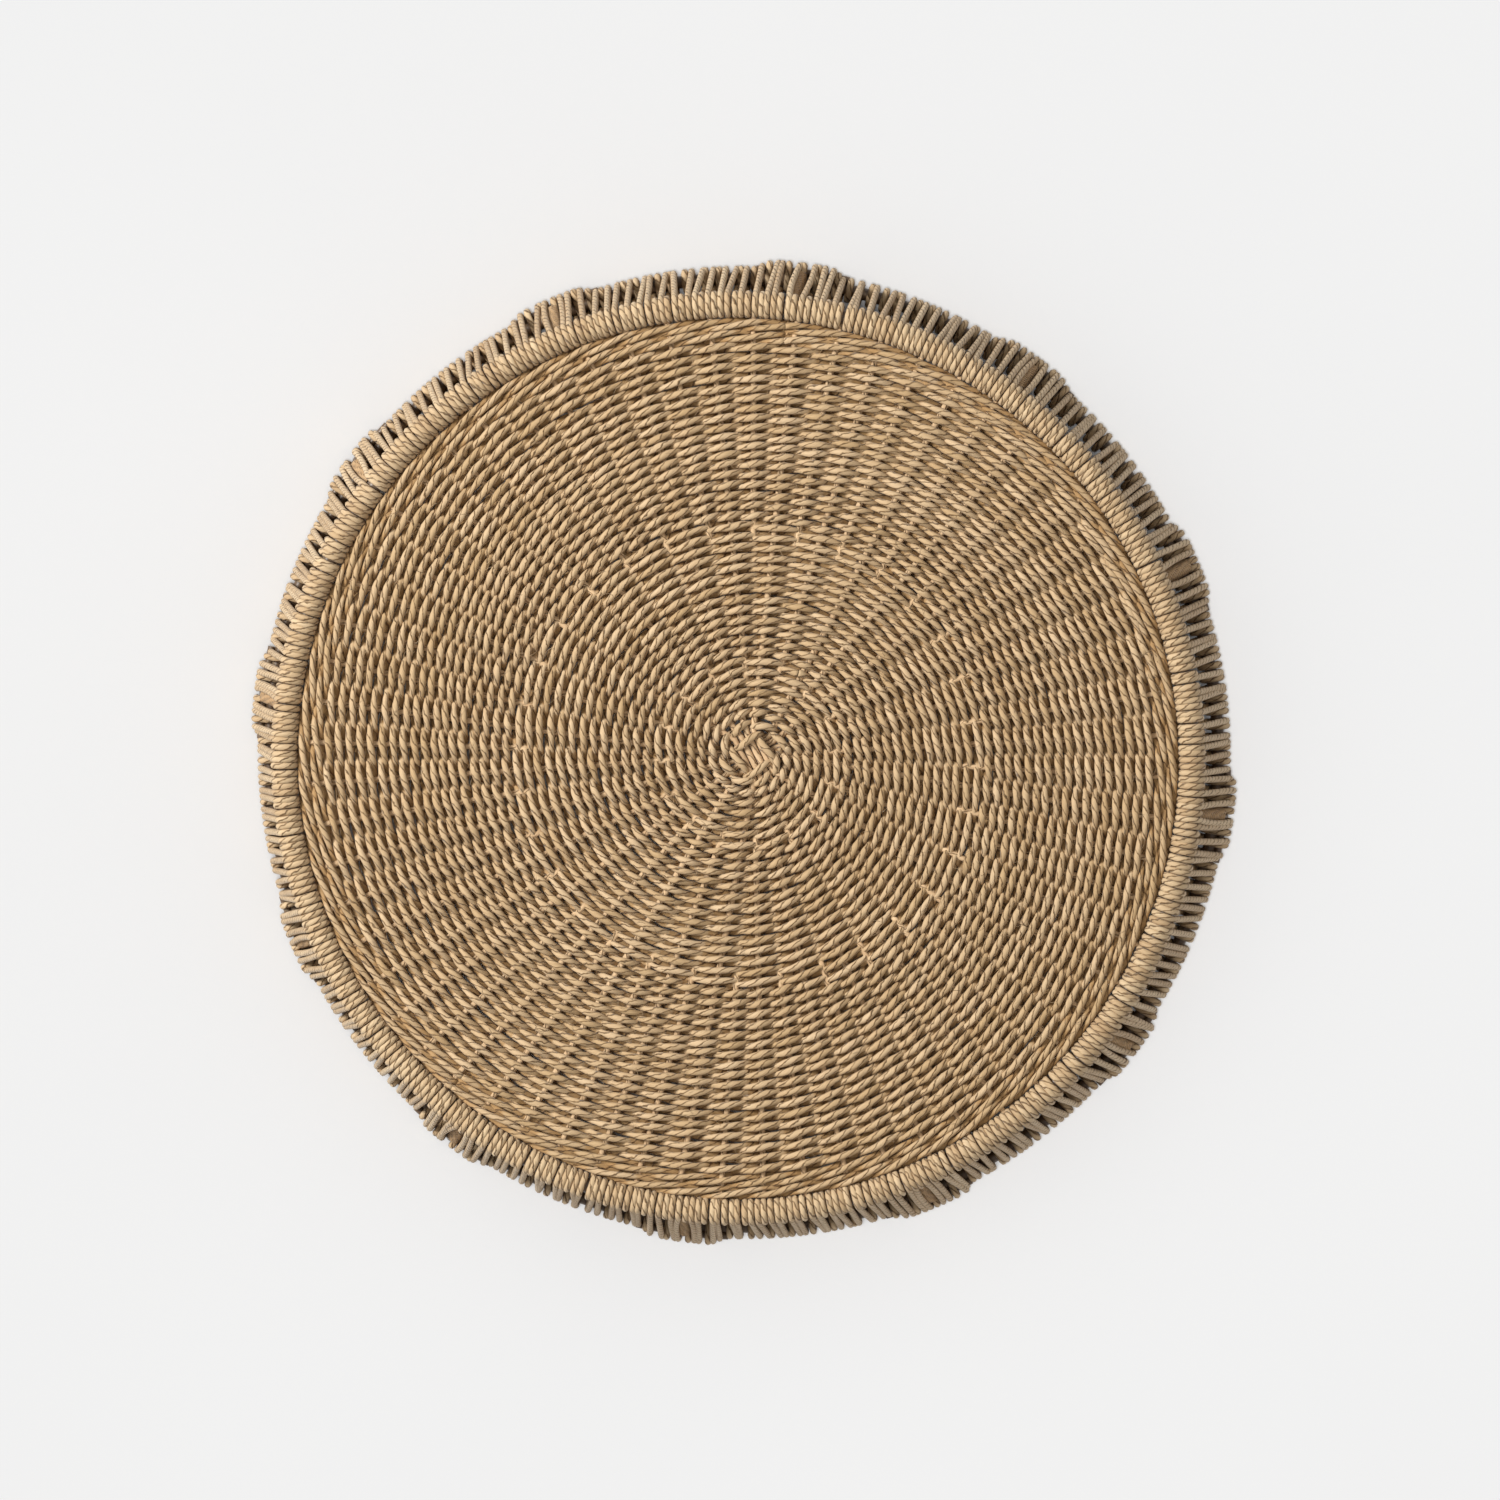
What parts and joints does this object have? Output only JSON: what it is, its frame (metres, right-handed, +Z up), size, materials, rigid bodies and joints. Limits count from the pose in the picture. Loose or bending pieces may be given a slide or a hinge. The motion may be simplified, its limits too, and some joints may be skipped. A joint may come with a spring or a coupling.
{
  "type": "round woven seat pad",
  "caption": "Round seat pad woven from twisted cord on fanned spokes, held in a cord-wrapped wire frame with a laced skirt down to a wider lower hoop.",
  "frame": {"origin": "centre of the underside, where the lower wrap rests", "axes": "+Z up, out of the woven face; X and Y lie in the face"},
  "size_m": [0.4056, 0.4056, 0.05],
  "materials": {
    "frame_rod": "dark lacquered wire",
    "winding_cord": "thin twisted paper cord",
    "stick": "stiff, tightly twisted paper cord",
    "weave_cord": "twisted paper cord, natural tan",
    "wrap_cord": "twisted paper cord, natural tan, lightly sized"
  },
  "bodies": {
    "root": {"top_hoop": "frame_rod", "bottom_hoop": "frame_rod", "strut_01": "frame_rod", "strut_02": "frame_rod", "strut_03": "frame_rod", "strut_04": "frame_rod", "strut_05": "frame_rod", "strut_06": "frame_rod", "strut_07": "frame_rod", "strut_08": "frame_rod", "strut_09": "frame_rod", "strut_10": "frame_rod", "strut_11": "frame_rod", "strut_12": "frame_rod", "strut_winding_01": "winding_cord", "strut_winding_02": "winding_cord", "strut_winding_03": "winding_cord", "strut_winding_04": "winding_cord", "strut_winding_05": "winding_cord", "strut_winding_06": "winding_cord", "strut_winding_07": "winding_cord", "strut_winding_08": "winding_cord", "strut_winding_09": "winding_cord", "strut_winding_10": "winding_cord", "strut_winding_11": "winding_cord", "strut_winding_12": "winding_cord", "base_stick_1": "stick", "base_stick_2": "stick", "base_stick_3": "stick", "base_stick_4": "stick", "base_stick_5": "stick", "base_stick_6": "stick", "base_stick_7": "stick", "base_stick_8": "stick", "first_added_spokes": "stick", "second_added_spokes": "stick", "centre_binding": "weave_cord", "inner_weave": "weave_cord", "middle_weave": "weave_cord", "outer_weave": "weave_cord", "border_rows": "weave_cord", "rim_wrap": "wrap_cord", "bottom_wrap": "wrap_cord", "outer_lacing": "wrap_cord", "inner_lacing": "wrap_cord"}
  },
  "joints": []
}
